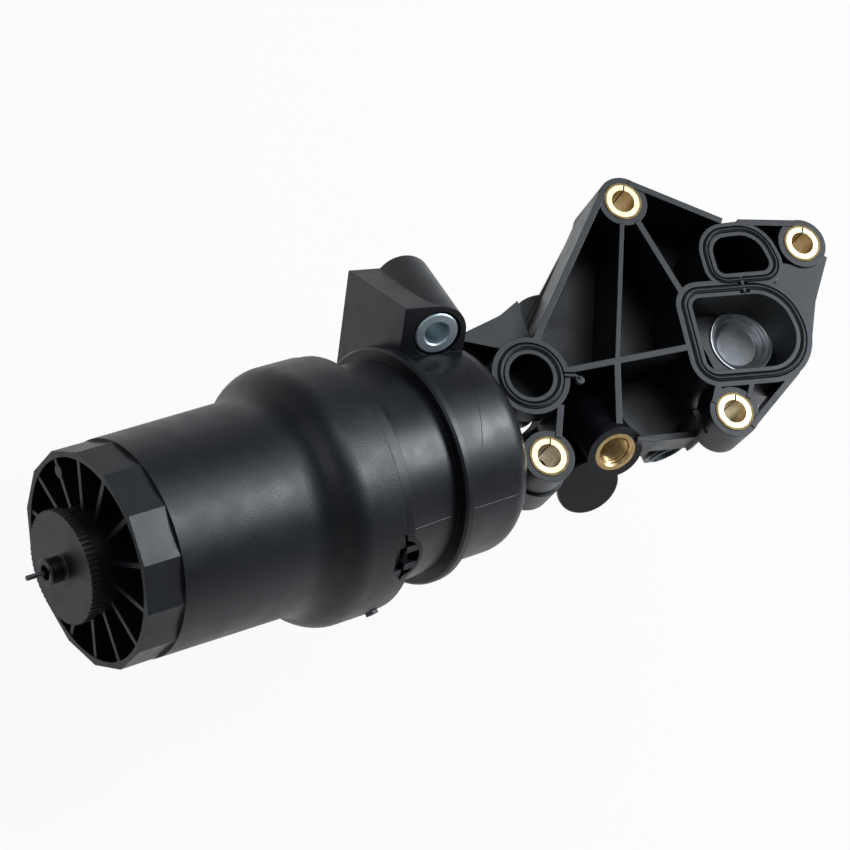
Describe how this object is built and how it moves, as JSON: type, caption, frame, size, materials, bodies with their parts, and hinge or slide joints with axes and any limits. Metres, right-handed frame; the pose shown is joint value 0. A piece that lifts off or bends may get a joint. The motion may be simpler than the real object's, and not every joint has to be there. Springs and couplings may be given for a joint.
{
  "type": "oil filter housing",
  "caption": "Engine oil filter housing: black moulded body with a ribbed mounting flange and sealed ports, and a tilted bowl with a screw-on cap, pleated element and drain plug.",
  "frame": {"origin": "centre of the round oil port on the flange's sealing face", "axes": "+X along the flange away from the bowl's cap, +Z out of the sealing face towards the engine block, +Y across the flange towards the side that carries the lug"},
  "size_m": [0.3446, 0.1195, 0.1092],
  "materials": {
    "moulding": "satin, glass filled",
    "cap_moulding": "satin grain",
    "brass": "rolled, knurled",
    "zinc_steel": "zinc plated",
    "bright_steel": "deep drawn",
    "spring_steel": "drawn wire",
    "aluminium": "turned",
    "seal_rubber": "moulded",
    "ring_rubber": "moulded",
    "paper": "resin-treated paper",
    "inner_plastic": "moulded"
  },
  "bodies": {
    "housing": {"housing_body": "moulding", "cap_o_ring": "ring_rubber", "standpipe": "inner_plastic", "bypass_seat": "bright_steel", "bypass_spring": "spring_steel", "flange_sleeve_top_left": "brass", "flange_sleeve_top_right": "brass", "flange_sleeve_low_right": "brass", "flange_sleeve_low_left": "brass", "lug_sleeve": "zinc_steel", "sensor_insert": "brass", "round_port_seal": "seal_rubber", "twin_port_seal": "seal_rubber", "port_cup": "bright_steel", "side_cover": "inner_plastic", "side_cover_o_ring": "ring_rubber", "relief_spring": "spring_steel", "gallery_plug": "zinc_steel", "check_seat": "bright_steel", "check_spring": "spring_steel"},
    "element": {"filter_media": "paper", "element_cap_disc": "inner_plastic", "element_body_disc": "inner_plastic", "element_core": "inner_plastic"},
    "cap": {"filter_cap": "cap_moulding"},
    "plug_carrier": {"drain_plug_o_ring": "ring_rubber"},
    "plug": {"drain_plug": "cap_moulding", "drain_clip": "inner_plastic", "drain_spring": "spring_steel"},
    "pin": {"drain_pin": "bright_steel"},
    "bypass_valve": {"bypass_poppet": "inner_plastic"},
    "relief_valve": {"relief_piston": "aluminium"},
    "check_valve": {"check_disc": "inner_plastic"}
  },
  "joints": [
    {"name": "cap_lift", "type": "slide", "parent": "housing", "child": "element", "axis": [-0.9774, 0, 0.2113], "range_m": [0, 0.012]},
    {"name": "cap_turn", "type": "hinge", "parent": "element", "child": "cap", "pos_m": [-0.18278, -0.0096, 0.00792], "axis": [-0.9774, 0, 0.2113], "range_deg": [0, 1080]},
    {"name": "plug_lift", "type": "slide", "parent": "cap", "child": "plug_carrier", "axis": [-0.9774, 0, 0.2113], "range_m": [0, 0.003]},
    {"name": "plug_turn", "type": "hinge", "parent": "plug_carrier", "child": "plug", "pos_m": [-0.18278, -0.0096, 0.00792], "axis": [-0.9774, 0, 0.2113], "range_deg": [0, 540]},
    {"name": "pin_press", "type": "slide", "parent": "plug", "child": "pin", "axis": [0.9774, 0, -0.2113], "range_m": [0, 0.003], "stiffness_N_per_m": 300, "springref_m": -0.003, "deforming": ["drain_spring"]},
    {"name": "bypass_open", "type": "slide", "parent": "housing", "child": "bypass_valve", "axis": [0.9774, 0, -0.2113], "range_m": [0, 0.003], "stiffness_N_per_m": 400, "springref_m": -0.004, "deforming": ["bypass_spring"]},
    {"name": "relief_open", "type": "slide", "parent": "housing", "child": "relief_valve", "axis": [-0.1701, -0.7853, 0.5953], "range_m": [0, 0.006], "stiffness_N_per_m": 600, "springref_m": -0.005, "deforming": ["relief_spring"]},
    {"name": "check_open", "type": "slide", "parent": "housing", "child": "check_valve", "axis": [0, 0, -1], "range_m": [0, 0.004], "stiffness_N_per_m": 60, "springref_m": -0.004, "deforming": ["check_spring"]}
  ],
  "couplings": [
    {"joint": "cap_lift", "follows": "cap_turn", "m_per_rad": 0.00063662},
    {"joint": "plug_lift", "follows": "plug_turn", "m_per_rad": 0.00031831}
  ]
}
